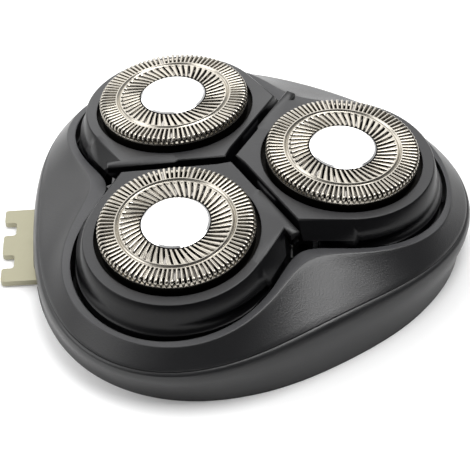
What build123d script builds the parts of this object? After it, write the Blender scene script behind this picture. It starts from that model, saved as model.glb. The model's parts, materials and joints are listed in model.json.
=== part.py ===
from build123d import *
import os
from collections import namedtuple
from math import cos, pi, radians, sin, sqrt, tan

# Rotary shaver head: a three-lobed housing, three tilting carriers and three cutting heads.
# Origin on the three-fold axis at the plane of the bottom edge, +Z up through the cutting side.
# Head 1 points along +X, heads 2 and 3 follow every 120 degrees, and the hinge plate is at -X.
# Sizes are in millimetres. Heights marked local are measured from a guard's flat cutting face.

# Layout of the three heads
HEADS = 3
STEP_DEG = 360 / HEADS
GUARD_D = 24.5
HEAD_GAP = 6.434
HEAD_TILT = 4.7
HEIGHT = 18.8

# Clearances
RUNNING_FIT = 0.05
AXIAL_PLAY = 0.1
LOOSE_FIT = 0.3
BLADE_GAP = 0.06
CUT_PAST = 1.0
WELD = 0.4

# Guard: slotted steel cup with two cutting tracks
GUARD_SHEET = 0.45
GUARD_BEVEL = 0.6
GUARD_FLANGE_T = 0.55
GUARD_WALL = 0.5
OUTER_TRACK_W = 3.18
INNER_TRACK_W = 3.75
TRACK_GROOVE_W = 0.6
TRACK_GROOVE_DEPTH = 0.28
OUTER_SLOTS = 90
INNER_SLOTS = 48
OUTER_SLOT_SHARE = 0.45
INNER_SLOT_SHARE = 0.36
SLOT_LAND = 0.15
RIM_NOTCH = 1.2

# Centre cap: bright disc pressed into the middle of the guard
CAP_GAP = 0.14
CAP_RECESS = 0.5
CAP_RISE = 0.1
CAP_BEVEL = 0.3

# Cutter: stamped steel ring with two rows of raked blades
BLADES = 15
BLADE_T = 0.5
BLADE_RAKE = 0.6
BLADE_INSET = 0.35
CUTTER_PLATE_T = 0.45
CUTTER_PLATE_Z = -2.75
CUTTER_EYE_R = 2.2
CUTTER_ARM_W = 1.5

# Drive hub under the cutter
HUB_FLANGE_R = 4.8
HUB_FLANGE_T = 0.6
HUB_JOURNAL_R = 3.6
HUB_HEX_AF = 5.8
HUB_BOTTOM = -10.0
HUB_BORE_R = 1.5
HUB_BORE_L = 4.0
HUB_RIVET_H = 0.4

# Carrier: black frame that holds one guard and tilts in the housing
CARRIER_FACE = -2.3
CARRIER_T = 1.2
CARRIER_SKIRT_T = 1.1
GUARD_MOAT = 0.7
CARRIER_FACE_W = 1.65
CARRIER_FLARE = 1.8
CARRIER_OUT = 0.3
CARRIER_FOOT = -8.6
CARRIER_TIP = 0.9
SIDE_SETBACK_LEFT = 0.15
SIDE_SETBACK_RIGHT = 1.3
SIDE_NOTCH_R = 8.4
SIDE_NOTCH = 0.35
TAB_W = 1.6
TAB_REACH = 2.0
FLANGE_HOLD = 0.35
COLLAR_CLEARANCE = 0.1
COLLAR_T = 1.1
COLLAR_FOOT = -6.3
EDGE_BREAK = 0.2

# Retaining ring: turns into three teeth under the collar
RETAINER_W = 1.6
RETAINER_T = 1.3
EYE_ROOM = 2.4
EYE_W = 1.2
SPOKE_W = 2.0
LUG_REACH = 0.7
LUG_T = 1.0
LUG_ARC = 22.0
TOOTH_T = 0.8
TOOTH_ARC = 26.0

# Tilt axis of each carrier, and the ears, posts and pins on it
TILT_AXIS_IN = 7.36
TILT_AXIS_Z = -7.8
PIVOT_PIN_R = 0.8
EAR_T = 1.0
EAR_W = 3.0
EAR_GAP = 0.2
POST_T = 1.3
POST_W = 3.0
POST_SWING_ROOM = 0.8

# Housing shell
WALL_BULGE = 1.05
WALL_LEVELS = (0.0, 0.45, 0.68, 0.84, 0.93, 1.0)
HOUSING_WALL = 1.7
HOUSING_WALL_AT_CREASE = 1.2
LIP_DEPTH = 2.0
CEILING_SLOPE = 0.264

# Base frame below the carriers
FRAME_DROP = 14.2
FRAME_T = 1.6
FRAME_HOLE_SHIFT = -0.86
FRAME_EDGE_ROOM = 1.5
SCREW_INSET = 7.0
SCREW_D = 2.0
SCREW_HEAD_D = 3.8
SCREW_HEAD_H = 1.3
SCREW_L = 4.4
BOSS_R = 2.6

# Leaf spring under the outer side of each carrier
SPRING_T = 0.3
SPRING_W = 5.0
SPRING_RUN = 4.5
SPRING_DROOP = 0.25

# Hinge at the back of the housing
HINGE_W = 17.0
HINGE_PLATE_L = 7.5
HINGE_INSET = 2.2
HINGE_PIN_Z = 1.9
HINGE_PIN_R = 0.9
HINGE_BARREL_R = 1.6
HINGE_T = 1.0
HINGE_CORNER_R = 0.5
HINGE_NOTCH_W = 3.1
HINGE_NOTCH_AT = 3.9
HINGE_NOTCH_DEPTH = 2.0
HINGE_SLOT_H = 4.6
HINGE_SLOT_ROOM = 3.0
HINGE_EAR_T = 2.0
HINGE_EAR_L = 3.6

# Front catch inside the lobe of head 1
CATCH_W = 7.0
CATCH_H = 1.2
CATCH_OUT = 1.6
CATCH_Z = 1.4

# Sizes worked out from the ones above, for one head
GUARD_R = GUARD_D / 2
TRACK_GROOVE_R = GUARD_R - OUTER_TRACK_W
CAP_R = TRACK_GROOVE_R - INNER_TRACK_W
HEAD_CIRCLE_R = (GUARD_D + HEAD_GAP) / (2 * sin(radians(STEP_DEG / 2)))
CARRIER_HOLE_R = GUARD_R + GUARD_MOAT
CARRIER_FACE_R = CARRIER_HOLE_R + CARRIER_FACE_W
CARRIER_FOOT_R = CARRIER_FACE_R + CARRIER_FLARE
FLANGE_R = CARRIER_HOLE_R + FLANGE_HOLD
COLLAR_R = FLANGE_R + COLLAR_CLEARANCE
CARRIER_UNDER = CARRIER_FACE - CARRIER_T
FLANGE_TOP = CARRIER_UNDER
FLANGE_FOOT = FLANGE_TOP - GUARD_FLANGE_T
RETAINER_TOP = FLANGE_FOOT - AXIAL_PLAY
RETAINER_R = FLANGE_R - LUG_REACH
EYE_R = HUB_FLANGE_R + EYE_ROOM

# The tilt axis in the head's own frame and in the whole part's
TILT_SIN = sin(radians(HEAD_TILT))
TILT_COS = cos(radians(HEAD_TILT))
TILT_AXIS_R = HEAD_CIRCLE_R - TILT_AXIS_IN
PIVOT_U = -(TILT_AXIS_IN + TILT_AXIS_Z * TILT_SIN) / TILT_COS
PIVOT_Z = HEIGHT + TILT_AXIS_Z * TILT_COS - PIVOT_U * TILT_SIN
EAR_IN = sqrt((COLLAR_R + COLLAR_T) ** 2 - TILT_AXIS_IN**2)

# Curves of the housing skin: radius and height at a lobe tip and midway between two lobes
Ring = namedtuple("Ring", "tip_r side_r tip_z side_z square third")


def skin(tip_out, side_out, tip_z, side_z, square=0.0, third=0.0):
    """A skin curve, given by how far it lies outside the feet of the carriers."""
    tip = HEAD_CIRCLE_R + CARRIER_FOOT_R
    side = HEAD_CIRCLE_R * cos(radians(STEP_DEG / 2)) + CARRIER_FOOT_R
    return Ring(tip + tip_out, side + side_out, tip_z, side_z, square, third)


RIM_INNER = skin(0.34, -5.08, HEIGHT - 9.0, HEIGHT - 5.75, -1.16, 0.18)
RIM_OUTER = skin(1.04, -2.45, HEIGHT - 9.35, HEIGHT - 5.2, -1.09, 0.02)
CREASE = skin(3.70, 6.09, HEIGHT - 11.94, HEIGHT - 9.75, 0.05)
FOOT = skin(2.64, 7.67, 0.0, 0.0)

# Sizes that follow the skin and the height
FRAME_Z = HEIGHT - FRAME_DROP
FRAME_TOP = FRAME_Z + FRAME_T
FRAME_HOLE_R = COLLAR_R + COLLAR_T - LOOSE_FIT
SCREW_CIRCLE_R = FOOT.side_r - SCREW_INSET
SCREW_L_IN = SCREW_L - FRAME_T
SPRING_OUT = COLLAR_R + COLLAR_T / 2
HINGE_PIN_X = FOOT.side_r - HINGE_INSET
HINGE_REACH = HINGE_PIN_X + HINGE_PLATE_L
HINGE_PIN_L = HINGE_W + 2 * LOOSE_FIT + HINGE_EAR_T


def head_place(index):
    """Location of one head's local frame: x outward, z out of the cutting face."""
    turn = Rot(0, 0, STEP_DEG * index)
    return turn * Pos(HEAD_CIRCLE_R, 0, HEIGHT) * Rot(0, HEAD_TILT, 0)


# Trilobe skin tools

def ring_point(ring, angle):
    """Point of a skin curve at an angle in degrees from head 1."""
    a = radians(angle)
    swing = (ring.tip_r - ring.side_r) / 2 - ring.third
    radius = (ring.tip_r + ring.side_r) / 2 - ring.square
    radius += swing * cos(3 * a) + ring.square * cos(6 * a) + ring.third * cos(9 * a)
    height = (ring.tip_z + ring.side_z) / 2 + (ring.tip_z - ring.side_z) / 2 * cos(3 * a)
    return Vector(radius * cos(a), radius * sin(a), height)


def ring_edges(ring, points=5):
    """The closed curve as three equal edges, each from one side point to the next."""
    share = [i / (points - 1) for i in range(points)]
    angles = [STEP_DEG * (0.5 + s) for s in share]
    nudge = 0.01
    slope = STEP_DEG / (2 * nudge)
    ends = [angles[0], angles[-1]]
    tangents = [(ring_point(ring, a + nudge) - ring_point(ring, a - nudge)) * slope for a in ends]
    knots = [ring_point(ring, a) for a in angles]
    edge = Edge.make_spline(knots, tangents, parameters=share, scale=False)
    return [edge.rotate(Axis.Z, STEP_DEG * i) for i in range(HEADS)]


def arc_outline(ring):
    """A flat skin curve drawn as six arcs, one at each tip and each side."""
    step = STEP_DEG / 4
    arcs = []
    for i in range(2 * HEADS):
        angles = [step * (2 * i + j) for j in (-1, 0, 1)]
        arcs.append(ThreePointArc(*[ring_point(ring, a) for a in angles]))
    return Wire(arcs)


def ruled_band(lower, upper):
    """Three ruled faces between two skin curves."""
    pairs = zip(ring_edges(lower), ring_edges(upper))
    return [Face.make_surface_from_curves(a, b) for a, b in pairs]


def blend_rings(low, high, share, bulge=0.0):
    """A curve between two others, pushed outward by a bulge."""
    mixed = [a + (b - a) * share for a, b in zip(low, high)]
    return Ring(mixed[0] + bulge, mixed[1] + bulge, *mixed[2:])


def wall_ring(level):
    """Outer wall curve at a share of the way from the foot to the crease."""
    return blend_rings(FOOT, CREASE, level, WALL_BULGE * sin(pi * level**2.4))


INNER_WALL = Ring(FOOT.tip_r - HOUSING_WALL, CREASE.side_r - HOUSING_WALL_AT_CREASE, 0, 0, 0, 0)


def ceiling_z(radius):
    """Height of the conical underside of the shoulder at a radius."""
    return RIM_INNER.side_z - LIP_DEPTH - CEILING_SLOPE * (radius - RIM_INNER.side_r)


# Housing

def housing():
    """Open-bottomed shell with wall, crease, shoulder, rim lip and opening."""
    floor_ring = RIM_INNER._replace(tip_z=0.0, side_z=0.0)
    faces = []
    for low, high in zip(WALL_LEVELS, WALL_LEVELS[1:]):
        faces += ruled_band(wall_ring(low), wall_ring(high))
    faces += ruled_band(CREASE, RIM_OUTER)
    faces += ruled_band(RIM_OUTER, RIM_INNER)
    faces += ruled_band(RIM_INNER, floor_ring)
    faces.append(Face(Wire(ring_edges(FOOT)), [Wire(ring_edges(floor_ring))]))
    shell = Solid(Shell(faces)) - hollow()
    shell += screw_bosses()
    shell += hinge_ears()
    shell += catch()
    shell -= Pos(-HINGE_PIN_X, 0, HINGE_SLOT_H / 2 - CUT_PAST / 2) * Box(
        2 * (HINGE_BARREL_R + HINGE_SLOT_ROOM), HINGE_W + 2 * LOOSE_FIT, HINGE_SLOT_H + CUT_PAST
    )
    shell -= hinge_axis(HINGE_PIN_R, HINGE_PIN_L)
    pilot = Cylinder(SCREW_D / 2, 2 * SCREW_L_IN)
    shell -= [screw_spot(i) * Pos(0, 0, FRAME_TOP) * pilot for i in range(HEADS)]
    return shell


def hollow():
    """Room inside the housing: upright inner wall and a conical ceiling."""
    wall = extrude(Face(arc_outline(INNER_WALL)), HEIGHT)
    wall = Pos(0, 0, -CUT_PAST) * wall
    far = FOOT.tip_r + CUT_PAST
    room = revolved((0, -CUT_PAST), (far, -CUT_PAST), (far, ceiling_z(far)), (0, ceiling_z(0)))
    return wall & room


def screw_spot(index):
    """Vertical axis of one frame screw, on a side direction."""
    return Rot(0, 0, STEP_DEG * (index + 0.5)) * Pos(SCREW_CIRCLE_R, 0, 0)



def screw_bosses():
    """Round bosses from the ceiling down to the base frame."""
    length = ceiling_z(SCREW_CIRCLE_R) + WELD - FRAME_TOP
    post = Cylinder(BOSS_R, length, align=(Align.CENTER, Align.CENTER, Align.MIN))
    return [screw_spot(i) * Pos(0, 0, FRAME_TOP) * post for i in range(HEADS)]


def hinge_axis(radius, length):
    """Round bar along the hinge axis."""
    return Pos(-HINGE_PIN_X, 0, HINGE_PIN_Z) * Rot(90, 0, 0) * Cylinder(radius, length)


def hinge_ears():
    """Two blocks beside the hinge slot that hold the ends of the pin."""
    half = HINGE_W / 2 + LOOSE_FIT
    block = Box(HINGE_EAR_L, HINGE_EAR_T, HINGE_SLOT_H, align=(Align.CENTER, Align.MIN, Align.MIN))
    left = Pos(WELD - HINGE_PIN_X, half, 0) * block
    return [left, mirror(left, Plane.XZ)]


def catch():
    """Ledge inside the front lobe for the latch of the handle."""
    ledge = Box(CATCH_OUT + WELD, CATCH_W, CATCH_H, align=(Align.MAX, Align.CENTER, Align.MIN))
    return Pos(INNER_WALL.tip_r + WELD, 0, CATCH_Z) * ledge


# Base frame, its screws and the springs

def base_frame():
    """Plate with three round openings, six pivot posts and the spring seats."""
    tip, side = INNER_WALL.tip_r - FRAME_EDGE_ROOM, INNER_WALL.side_r - LOOSE_FIT
    outline = Ring(tip, side, FRAME_Z, FRAME_Z, 0, 0)
    frame = extrude(Face(arc_outline(outline)), FRAME_T)
    hole = Cylinder(FRAME_HOLE_R, 4 * FRAME_T)
    centre = HEAD_CIRCLE_R + FRAME_HOLE_SHIFT
    frame -= [Rot(0, 0, STEP_DEG * i) * Pos(centre, 0, FRAME_Z) * hole for i in range(HEADS)]
    frame += [Rot(0, 0, STEP_DEG * i) * post for i in range(HEADS) for post in pivot_posts()]
    bore = Cylinder(SCREW_D / 2 + RUNNING_FIT, 4 * FRAME_T)
    frame -= [screw_spot(i) * Pos(0, 0, FRAME_Z) * bore for i in range(HEADS)]
    frame -= pivot_pins()
    return frame


def pivot_posts():
    """The two upright posts of head 1, with round tops about the tilt axis."""
    inner = EAR_IN + EAR_T + EAR_GAP
    rise = PIVOT_Z - FRAME_TOP
    stem = Pos(TILT_AXIS_R, inner + POST_T / 2, FRAME_TOP + rise / 2) * Box(POST_W, POST_T, rise)
    crown = Pos(TILT_AXIS_R, inner + POST_T / 2, PIVOT_Z) * Rot(90, 0, 0)
    crown = crown * Cylinder(POST_W / 2, POST_T)
    post = stem + crown
    return [post, mirror(post, Plane.XZ)]


def pivot_pins():
    """Six steel pins, pressed into the posts, that the carriers' ears turn on."""
    length = EAR_T + EAR_GAP + POST_T
    pin = Rot(90, 0, 0) * Cylinder(PIVOT_PIN_R, length)
    pin = Pos(TILT_AXIS_R, EAR_IN + length / 2, PIVOT_Z) * pin
    pair = [pin, mirror(pin, Plane.XZ)]
    return [Rot(0, 0, STEP_DEG * i) * p for i in range(HEADS) for p in pair]


def frame_screws():
    """Three pan-head screws, driven upward through the base frame into the bosses."""
    head_r = SCREW_HEAD_D / 2
    screw = revolved(
        (0, -SCREW_HEAD_H),
        (head_r * 0.75, -SCREW_HEAD_H),
        (head_r, -SCREW_HEAD_H * 0.5),
        (head_r, 0),
        (SCREW_D / 2, 0),
        (SCREW_D / 2, SCREW_L),
        (0, SCREW_L),
    )
    arm = Box(SCREW_D * 1.2, SCREW_D * 0.25, SCREW_HEAD_H)
    screw -= Pos(0, 0, -SCREW_HEAD_H) * (arm + Rot(0, 0, 90) * arm)
    return [screw_spot(i) * Pos(0, 0, FRAME_Z) * screw for i in range(HEADS)]


def carrier_spring(index):
    """Bent leaf: a foot on the base frame and an arm up to the carrier's collar."""
    reach = HEAD_CIRCLE_R + SPRING_OUT * TILT_COS + COLLAR_FOOT * TILT_SIN
    top_z = HEIGHT + COLLAR_FOOT * TILT_COS - SPRING_OUT * TILT_SIN - AXIAL_PLAY
    bend = SPRING_T * 2
    back = reach + bend
    rise = top_z - FRAME_TOP
    spine = [
        (back - SPRING_RUN * 0.2, FRAME_TOP + SPRING_T / 2),
        (back - SPRING_RUN * 0.95, FRAME_TOP + SPRING_T / 2),
        (back - SPRING_RUN, FRAME_TOP + rise * 0.5),
        (back - SPRING_RUN * 0.3, top_z - SPRING_T / 2),
        (back, top_z - SPRING_T / 2 - SPRING_DROOP),
    ]
    with BuildPart() as leaf:
        with BuildLine(Plane.XZ) as path:
            FilletPolyline(*spine, radius=bend)
        with BuildSketch(Plane(path.line @ 0, x_dir=(0, 1, 0), z_dir=path.line % 0)):
            Rectangle(SPRING_W, SPRING_T)
        sweep()
    return Rot(0, 0, STEP_DEG * index) * leaf.part


# Hinge plate and pin

def hinge_plate():
    """Flat comb with two notches and a barrel round the pin."""
    with BuildSketch() as outline:
        with Locations((-HINGE_REACH, 0)):
            Rectangle(HINGE_PLATE_L, HINGE_W, align=(Align.MIN, Align.CENTER))
        with Locations((-HINGE_REACH, HINGE_NOTCH_AT), (-HINGE_REACH, -HINGE_NOTCH_AT)):
            Rectangle(2 * HINGE_NOTCH_DEPTH, HINGE_NOTCH_W, mode=Mode.SUBTRACT)
        corners = outline.vertices().filter_by(lambda v: v.X < -HINGE_PIN_X - HINGE_CORNER_R)
        fillet(corners, radius=HINGE_CORNER_R)
    plate = Pos(0, 0, LOOSE_FIT) * extrude(outline.sketch, HINGE_T)
    plate += hinge_axis(HINGE_BARREL_R, HINGE_W)
    return plate - hinge_axis(HINGE_PIN_R + RUNNING_FIT, 2 * HINGE_W)


def hinge_pin():
    """Steel pin between the two ears."""
    return hinge_axis(HINGE_PIN_R, HINGE_PIN_L)


# Cutting head pieces, drawn in the local frame

def ring_of(shape, count, start=0.0):
    """Copies of a shape spaced evenly round the local axis."""
    return [Rot(0, 0, start + 360 * i / count) * shape for i in range(count)]


def revolved(*points):
    """Solid of revolution about the local axis from a closed outline of (radius, z)."""
    with BuildPart() as turned:
        with BuildSketch(Plane.XZ):
            with BuildLine():
                Polyline(*points, close=True)
            make_face()
        revolve(axis=Axis.Z)
    return turned.part


def guard():
    """Steel cup with two slotted tracks; the outer slots run out over its edge."""
    groove_in = TRACK_GROOVE_R - TRACK_GROOVE_W / 2
    groove_out = TRACK_GROOVE_R + TRACK_GROOVE_W / 2
    recess_r = CAP_R + CAP_GAP
    cup = revolved(
        (0, -CAP_RECESS),
        (recess_r, -CAP_RECESS),
        (recess_r, 0),
        (groove_in, 0),
        (TRACK_GROOVE_R, -TRACK_GROOVE_DEPTH),
        (groove_out, 0),
        (GUARD_R - GUARD_SHEET, 0),
        (GUARD_R, -GUARD_BEVEL),
        (GUARD_R, FLANGE_TOP),
        (FLANGE_R, FLANGE_TOP),
        (FLANGE_R, FLANGE_FOOT),
        (GUARD_R - GUARD_WALL, FLANGE_FOOT),
        (GUARD_R - GUARD_WALL, -GUARD_SHEET),
        (recess_r + GUARD_SHEET, -GUARD_SHEET),
        (recess_r + GUARD_SHEET, -CAP_RECESS - GUARD_SHEET),
        (0, -CAP_RECESS - GUARD_SHEET),
    )
    outer = wedge(
        groove_out + SLOT_LAND, GUARD_R + CUT_PAST, OUTER_SLOT_SHARE * 360 / OUTER_SLOTS, RIM_NOTCH
    )
    inner = wedge(
        recess_r + GUARD_SHEET + SLOT_LAND,
        groove_in - SLOT_LAND,
        INNER_SLOT_SHARE * 360 / INNER_SLOTS,
        GUARD_SHEET,
    )
    return cup - ring_of(outer, OUTER_SLOTS) - ring_of(inner, INNER_SLOTS)


def wedge(start, end, arc, depth):
    """Tool for one slot: two flanks through the axis, down to a depth below the face."""
    a = radians(arc / 2)
    corners = [(start, -start * tan(a)), (end, -end * tan(a)), (end, end * tan(a)), (start, start * tan(a))]
    with BuildPart() as tool:
        with BuildSketch(Plane.XY.offset(-depth)):
            with BuildLine():
                Polyline(*corners, close=True)
            make_face()
        extrude(amount=depth + CUT_PAST)
    return tool.part


def centre_cap():
    """Slightly raised disc with a bevelled edge, set in the guard's recess."""
    return revolved(
        (0, CAP_RISE),
        (CAP_R - CAP_BEVEL, CAP_RISE),
        (CAP_R, CAP_RISE - CAP_BEVEL / 2),
        (CAP_R, -CAP_RECESS),
        (0, -CAP_RECESS),
    )


def blade(start, end):
    """One raked blade: a leaning slab from the cutter plate to just under the guard."""
    foot = CUTTER_PLATE_Z + CUTTER_PLATE_T / 2
    top = -GUARD_SHEET - BLADE_GAP
    half = BLADE_T / 2
    with BuildPart() as slab:
        with BuildSketch(Plane.YZ.offset(start)):
            with BuildLine():
                Polyline(
                    (-half, foot),
                    (half, foot),
                    (half + BLADE_RAKE, top),
                    (-half + BLADE_RAKE, top),
                    close=True,
                )
            make_face()
        extrude(amount=end - start)
    return slab.part


def cutter():
    """Stamped ring with an inner row of blades and an outer row on short arms."""
    groove_in = TRACK_GROOVE_R - TRACK_GROOVE_W / 2
    groove_out = TRACK_GROOVE_R + TRACK_GROOVE_W / 2
    plate = revolved(
        (CUTTER_EYE_R, CUTTER_PLATE_Z),
        (groove_out, CUTTER_PLATE_Z),
        (groove_out, CUTTER_PLATE_Z + CUTTER_PLATE_T),
        (CUTTER_EYE_R, CUTTER_PLATE_Z + CUTTER_PLATE_T),
    )
    outer_end = GUARD_R - GUARD_WALL - BLADE_INSET
    arm = Box(
        outer_end - groove_out + WELD,
        CUTTER_ARM_W,
        CUTTER_PLATE_T,
        align=(Align.MIN, Align.CENTER, Align.MIN),
    )
    outer = blade(groove_out + BLADE_INSET, outer_end)
    inner = blade(CAP_R + CAP_GAP + GUARD_SHEET + BLADE_INSET, groove_in - BLADE_INSET)
    plate += ring_of(Pos(groove_out - WELD, 0, CUTTER_PLATE_Z) * arm, BLADES)
    plate += ring_of(outer, BLADES)
    plate += ring_of(inner, BLADES, 180 / BLADES)
    return plate


def drive_hub():
    """Plastic coupling: flange under the cutter, round journal, hexagon and socket."""
    flange_foot = CUTTER_PLATE_Z - HUB_FLANGE_T
    journal_foot = RETAINER_TOP - RETAINER_T - 2 * AXIAL_PLAY
    hub = revolved(
        (0, CUTTER_PLATE_Z + CUTTER_PLATE_T + HUB_RIVET_H),
        (CUTTER_EYE_R, CUTTER_PLATE_Z + CUTTER_PLATE_T + HUB_RIVET_H),
        (CUTTER_EYE_R, CUTTER_PLATE_Z),
        (HUB_FLANGE_R, CUTTER_PLATE_Z),
        (HUB_FLANGE_R, flange_foot),
        (HUB_JOURNAL_R, flange_foot),
        (HUB_JOURNAL_R, journal_foot),
        (0, journal_foot),
    )
    hexagon = RegularPolygon(HUB_HEX_AF / 2, 6, major_radius=False)
    hub += Pos(0, 0, HUB_BOTTOM) * extrude(hexagon, journal_foot - HUB_BOTTOM)
    bore = Cylinder(HUB_BORE_R, HUB_BORE_L, align=(Align.CENTER, Align.CENTER, Align.MIN))
    return hub - Pos(0, 0, HUB_BOTTOM) * bore


def arc_block(inner, outer, low, height, arc):
    """Part of a flat ring that spans an arc either side of local +X."""
    with BuildPart() as block:
        with BuildSketch(Plane.XY.offset(low)):
            Circle(outer)
            Circle(inner, mode=Mode.SUBTRACT)
            with BuildLine():
                far = 2 * outer
                a = radians(arc / 2)
                Polyline((0, 0), (far * cos(a), far * sin(a)), (far * cos(a), -far * sin(a)), close=True)
            make_face(mode=Mode.INTERSECT)
        extrude(amount=height)
    return block.part


def retaining_ring():
    """Plastic ring with three spokes below the cutter and an eye round its drive hub."""
    lug = arc_block(RETAINER_R - WELD, FLANGE_R, RETAINER_TOP - LUG_T, LUG_T, LUG_ARC)
    with BuildPart() as ring:
        with BuildSketch(Plane.XY.offset(RETAINER_TOP - RETAINER_T)):
            Circle(RETAINER_R)
            Circle(RETAINER_R - RETAINER_W, mode=Mode.SUBTRACT)
            Circle(EYE_R + EYE_W)
            spoke = RETAINER_R - RETAINER_W / 2
            with PolarLocations(spoke / 2, HEADS, start_angle=60):
                Rectangle(spoke, SPOKE_W)
            Circle(EYE_R, mode=Mode.SUBTRACT)
        extrude(amount=RETAINER_T)
    return ring.part + ring_of(lug, HEADS)


# Carrier

def hull(top_r, foot_r, top_z, foot_z):
    """Tapered body: a half cone on the outer side, running straight towards the centre."""
    sections = []
    back = -1.2 * HEAD_CIRCLE_R
    for radius, height in ((top_r, top_z), (foot_r, foot_z)):
        with BuildSketch(Plane.XY.offset(height)) as section:
            with BuildLine():
                CenterArc((CARRIER_OUT, 0), radius, -90, 180)
                Polyline((CARRIER_OUT, radius), (back, radius), (back, -radius), (CARRIER_OUT, -radius))
            make_face()
        sections.append(section.sketch)
    return loft(sections, ruled=True)


def side_point(distance, setback, side=1):
    """Point beside one edge of a head's own third, at a distance from the three-fold axis."""
    c, s = cos(radians(60)), sin(radians(60))
    x = distance * c + setback * s
    y = distance * s - setback * c
    return (x - HEAD_CIRCLE_R, side * y)


def prism(points, low, high):
    """Upright prism over a closed outline."""
    with BuildPart() as body:
        with BuildSketch(Plane.XY.offset(low)):
            with BuildLine():
                Polyline(*points, close=True)
            make_face()
        extrude(amount=high - low)
    return body.part


def sector(setback_left, setback_right, tip, low, high):
    """Upright prism of a head's own third of the circle, with its stepped left side."""
    far = 6 * HEAD_CIRCLE_R
    left = [
        side_point(tip, setback_left + SIDE_NOTCH),
        side_point(SIDE_NOTCH_R, setback_left + SIDE_NOTCH),
        side_point(SIDE_NOTCH_R + 2 * SIDE_NOTCH, setback_left),
        side_point(far, setback_left),
    ]
    right = [side_point(far, setback_right, -1), side_point(tip + setback_right, setback_right, -1)]
    return prism([*left, *right], low, high)


def side_strip(near, far, outer, low, high):
    """Upright strip beside a head's left edge, reaching in as far as the tab is wide."""
    inner = SIDE_SETBACK_LEFT + TAB_W
    outer_edge = [side_point(near, outer), side_point(far, outer)]
    inner_edge = [side_point(far, inner), side_point(near, inner)]
    return prism([*outer_edge, *inner_edge], low, high)


def tab_distance(width):
    """Distance from the three-fold axis where the tab's inner edge is this far off axis."""
    return (width + (SIDE_SETBACK_LEFT + TAB_W) * cos(radians(60))) / sin(radians(60))


def carrier():
    """Frame with a flat face, a guard opening, a falling skirt, a collar and two ears."""
    top, foot = CARRIER_FACE, CARRIER_FOOT
    wall = CARRIER_SKIRT_T
    body = hull(CARRIER_FACE_R, CARRIER_FOOT_R, top, foot)
    body &= sector(SIDE_SETBACK_LEFT, SIDE_SETBACK_RIGHT, CARRIER_TIP, foot - CUT_PAST, top + CUT_PAST)
    body += tab()
    body = chamfer(body.faces().sort_by(Axis.Z)[-1].outer_wire().edges(), EDGE_BREAK)
    slope = (CARRIER_FOOT_R - CARRIER_FACE_R) / (top - foot)
    under_r = CARRIER_FACE_R + slope * CARRIER_T - wall
    cavity = hull(under_r, CARRIER_FOOT_R - wall, CARRIER_UNDER, foot)
    cavity &= sector(
        SIDE_SETBACK_LEFT + wall,
        SIDE_SETBACK_RIGHT + wall,
        CARRIER_TIP + 2 * wall,
        foot - CUT_PAST,
        top,
    )
    body -= cavity
    body -= skirt_end()
    body += collar()
    body += ears()
    deep = -2 * CARRIER_FOOT
    body -= Cylinder(CARRIER_HOLE_R, deep)
    room = Cylinder(COLLAR_R, deep, align=(Align.CENTER, Align.CENTER, Align.MAX))
    body -= Pos(0, 0, CARRIER_UNDER) * room
    body += teeth()
    body -= post_relief()
    body -= Pos(PIVOT_U, 0, TILT_AXIS_Z) * Rot(90, 0, 0) * Cylinder(
        PIVOT_PIN_R + RUNNING_FIT, 4 * EAR_IN
    )
    return body


def tab():
    """Strip of the face that runs on beside the gap to the next carrier."""
    corner = tab_distance(CARRIER_FACE_R)
    near, far = corner - TAB_W, corner + TAB_REACH
    return side_strip(near, far, SIDE_SETBACK_LEFT, CARRIER_UNDER, CARRIER_FACE)


def skirt_end():
    """Room beside the gap, below the tab, where the skirt stops short."""
    near = tab_distance(CARRIER_FACE_R - CARRIER_SKIRT_T)
    far = near + 2 * CARRIER_FOOT_R
    return side_strip(near, far, SIDE_SETBACK_LEFT - CUT_PAST, CARRIER_FOOT - CUT_PAST, CARRIER_UNDER)


def collar():
    """Round post under the face, bored later to hold the guard and the retaining ring."""
    height = CARRIER_UNDER + CARRIER_T / 2 - COLLAR_FOOT
    post = Cylinder(COLLAR_R + COLLAR_T, height, align=(Align.CENTER, Align.CENTER, Align.MIN))
    return Pos(0, 0, COLLAR_FOOT) * post


def teeth():
    """Three inward teeth that the retaining ring's lugs turn over."""
    top = RETAINER_TOP - LUG_T - AXIAL_PLAY
    inner = RETAINER_R + COLLAR_CLEARANCE
    tooth = arc_block(inner, COLLAR_R + WELD, top - TOOTH_T, TOOTH_T, TOOTH_ARC)
    return ring_of(tooth, HEADS)


def ears():
    """Two ears with round ends that hang from the face to the tilt axis."""
    rise = CARRIER_UNDER + WELD / 2 - TILT_AXIS_Z
    stem = Box(EAR_W, EAR_T, rise, align=(Align.CENTER, Align.MIN, Align.MIN))
    stem = Pos(PIVOT_U, EAR_IN, TILT_AXIS_Z) * stem
    end = Pos(PIVOT_U, EAR_IN + EAR_T / 2, TILT_AXIS_Z) * Rot(90, 0, 0)
    ear = stem + end * Cylinder(EAR_W / 2, EAR_T)
    return [ear, mirror(ear, Plane.XZ)]


def post_relief():
    """Cut-outs in the skirt that leave the base frame's posts room to swing past."""
    width = POST_W + 2 * POST_SWING_ROOM
    inner = EAR_IN + EAR_T
    top = TILT_AXIS_Z + POST_W / 2 + POST_SWING_ROOM / 2
    reach = CARRIER_FOOT_R - inner + CUT_PAST
    box = Box(width, reach, -CARRIER_FOOT, align=(Align.CENTER, Align.MIN, Align.MAX))
    cut = Pos(PIVOT_U, inner, top) * box
    return [cut, mirror(cut, Plane.XZ)]


# Files

def save(name, shape):
    """Write one piece, or a group of like pieces, as parts/NAME.step."""
    if isinstance(shape, list):
        shape = Compound(children=[Part(s.wrapped) if not isinstance(s, Part) else s for s in shape])
    shape.label = name
    export_step(shape, os.path.join("parts", name + ".step"))


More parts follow.
